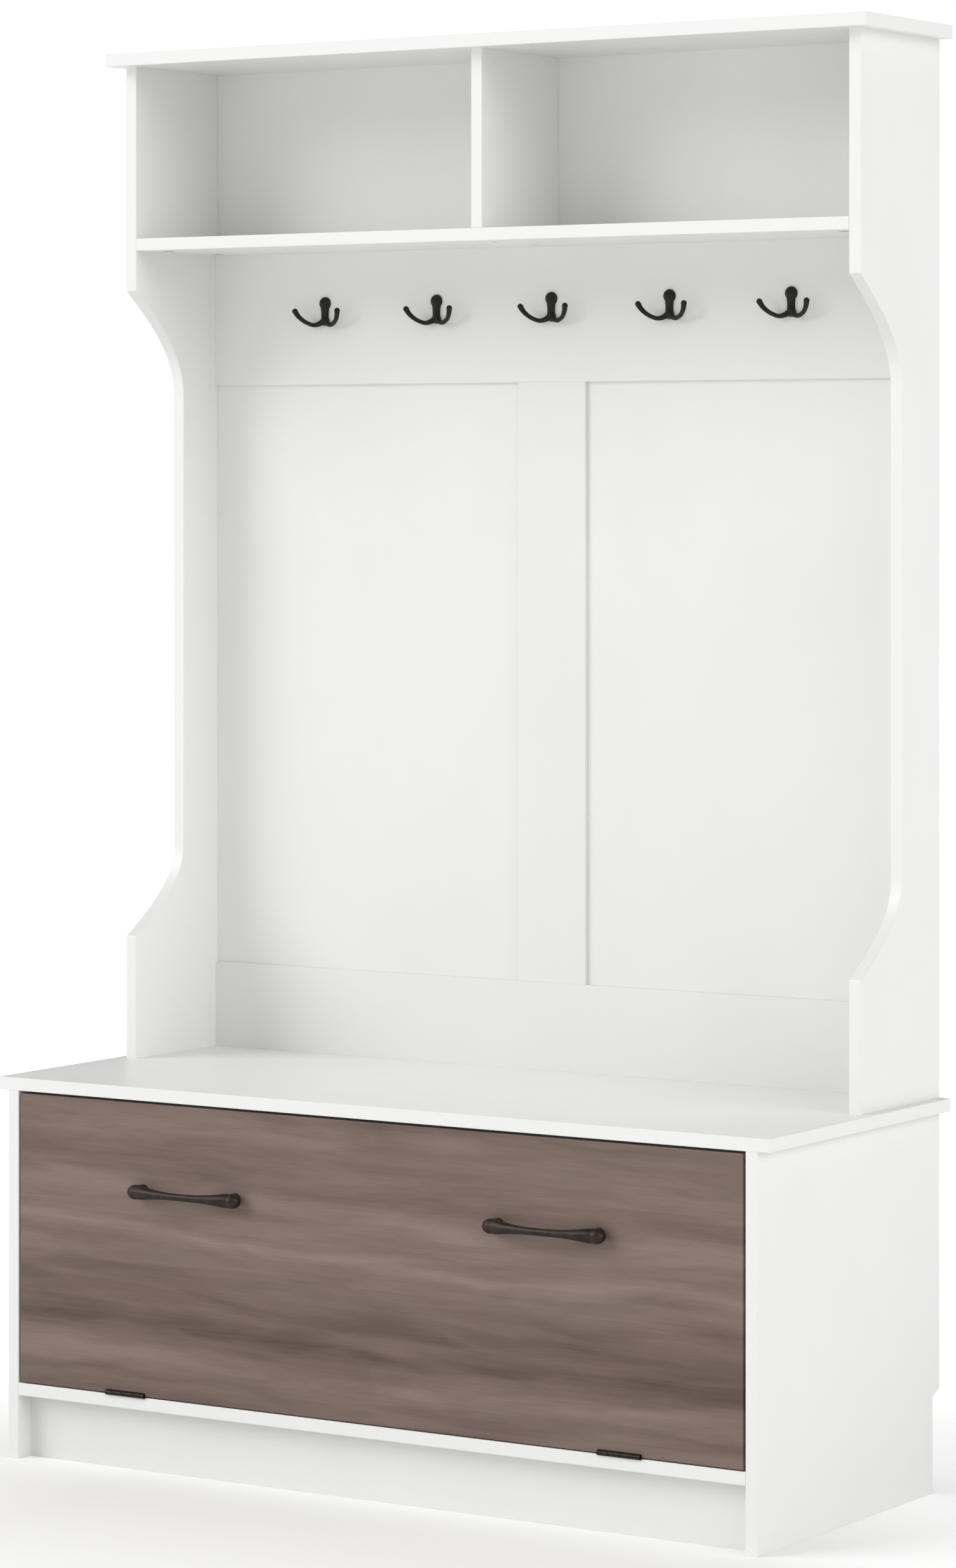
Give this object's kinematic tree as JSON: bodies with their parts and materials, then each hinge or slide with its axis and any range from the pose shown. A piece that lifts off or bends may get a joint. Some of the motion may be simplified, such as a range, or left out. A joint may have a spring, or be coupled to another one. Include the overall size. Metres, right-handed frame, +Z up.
{
  "type": "hall tree with hooks",
  "caption": "Storage bench with a drop-front door, under a hutch with open cubbies and a rail of double coat hooks.",
  "frame": {"origin": "on the floor, in the middle of the width and of the depth over the handles", "axes": "+X to the right as seen from the front, +Y towards the wall, +Z up"},
  "size_m": [1.049, 0.444, 1.685],
  "materials": {
    "white_melamine": "satin white melamine facing with edge banding on particle board",
    "white_sheet": "satin white lacquered hardboard",
    "walnut_melamine": "grey-brown walnut effect, matt, grain along the width",
    "black_cast": "satin black paint on cast zinc",
    "bronze_cast": "dark oil-rubbed bronze on cast zinc",
    "black_steel": "black coated steel sheet",
    "zinc_steel": "bright zinc plated steel",
    "cast_cam": "raw die-cast zinc",
    "beech": "plain fluted beech",
    "white_plastic": "moulded white plastic",
    "magnet": "dark ferrite block"
  },
  "bodies": {
    "cabinet": {"hutch_top": "white_melamine", "hutch_side_left": "white_melamine", "hutch_side_right": "white_melamine", "hutch_shelf": "white_melamine", "hutch_divider": "white_melamine", "cubby_back": "white_sheet", "hook_rail": "white_melamine", "centre_stile": "white_melamine", "lower_rail": "white_melamine", "back_panel_left": "white_sheet", "back_panel_right": "white_sheet", "coat_hook_1": "black_cast", "coat_hook_2": "black_cast", "coat_hook_3": "black_cast", "coat_hook_4": "black_cast", "coat_hook_5": "black_cast", "hook_screws": "black_steel", "bench_top": "white_melamine", "bench_side_left": "white_melamine", "bench_side_right": "white_melamine", "bench_bottom": "white_melamine", "kick_board": "white_melamine", "rear_kick_board": "white_melamine", "seat_rail_front": "white_melamine", "seat_rail_rear": "white_melamine", "bench_divider": "white_melamine", "bench_back": "white_sheet", "hinge_frame_leaf_left": "black_steel", "hinge_frame_leaf_right": "black_steel", "hinge_pin_left": "black_steel", "hinge_pin_right": "black_steel", "stay_frame_bracket_left": "zinc_steel", "stay_frame_bracket_right": "zinc_steel", "magnet_catch_left": "white_plastic", "magnet_catch_right": "white_plastic", "catch_magnets": "magnet", "frame_hardware_screws": "zinc_steel", "cam_locks": "cast_cam", "cam_bolts": "zinc_steel", "dowels": "beech", "confirmat_screws": "zinc_steel", "wall_bracket_left": "zinc_steel", "wall_bracket_right": "zinc_steel"},
    "door": {"drop_door": "walnut_melamine", "handle_left": "bronze_cast", "handle_right": "bronze_cast", "handle_screws": "zinc_steel", "hinge_door_leaf_left": "black_steel", "hinge_door_leaf_right": "black_steel", "stay_door_bracket_left": "zinc_steel", "stay_door_bracket_right": "zinc_steel", "strike_plates": "zinc_steel", "door_hardware_screws": "zinc_steel"},
    "stay_frame_arm_left": {"stay_frame_arm_left": "zinc_steel"},
    "stay_door_arm_left": {"stay_door_arm_left": "zinc_steel"},
    "stay_frame_arm_right": {"stay_frame_arm_right": "zinc_steel"},
    "stay_door_arm_right": {"stay_door_arm_right": "zinc_steel"}
  },
  "joints": [
    {"name": "door_hinge", "type": "hinge", "parent": "cabinet", "child": "door", "pos_m": [0, -0.199, 0.092], "axis": [1, 0, 0], "range_deg": [0, 90]},
    {"name": "stay_frame_pivot_left", "type": "hinge", "parent": "cabinet", "child": "stay_frame_arm_left", "pos_m": [-0.484, 0.001, 0.122], "axis": [1, 0, 0], "range_deg": [0, 90]},
    {"name": "stay_door_pivot_left", "type": "hinge", "parent": "door", "child": "stay_door_arm_left", "pos_m": [-0.484, -0.171, 0.292], "axis": [1, 0, 0], "range_deg": [-90, 0]},
    {"name": "stay_frame_pivot_right", "type": "hinge", "parent": "cabinet", "child": "stay_frame_arm_right", "pos_m": [0.484, 0.001, 0.122], "axis": [1, 0, 0], "range_deg": [0, 90]},
    {"name": "stay_door_pivot_right", "type": "hinge", "parent": "door", "child": "stay_door_arm_right", "pos_m": [0.484, -0.171, 0.292], "axis": [1, 0, 0], "range_deg": [-90, 0]}
  ],
  "couplings": [
    {"joint": "stay_frame_pivot_left", "follows": "door_hinge", "ratio": 1},
    {"joint": "stay_door_pivot_left", "follows": "door_hinge", "ratio": -1},
    {"joint": "stay_frame_pivot_right", "follows": "door_hinge", "ratio": 1},
    {"joint": "stay_door_pivot_right", "follows": "door_hinge", "ratio": -1}
  ]
}
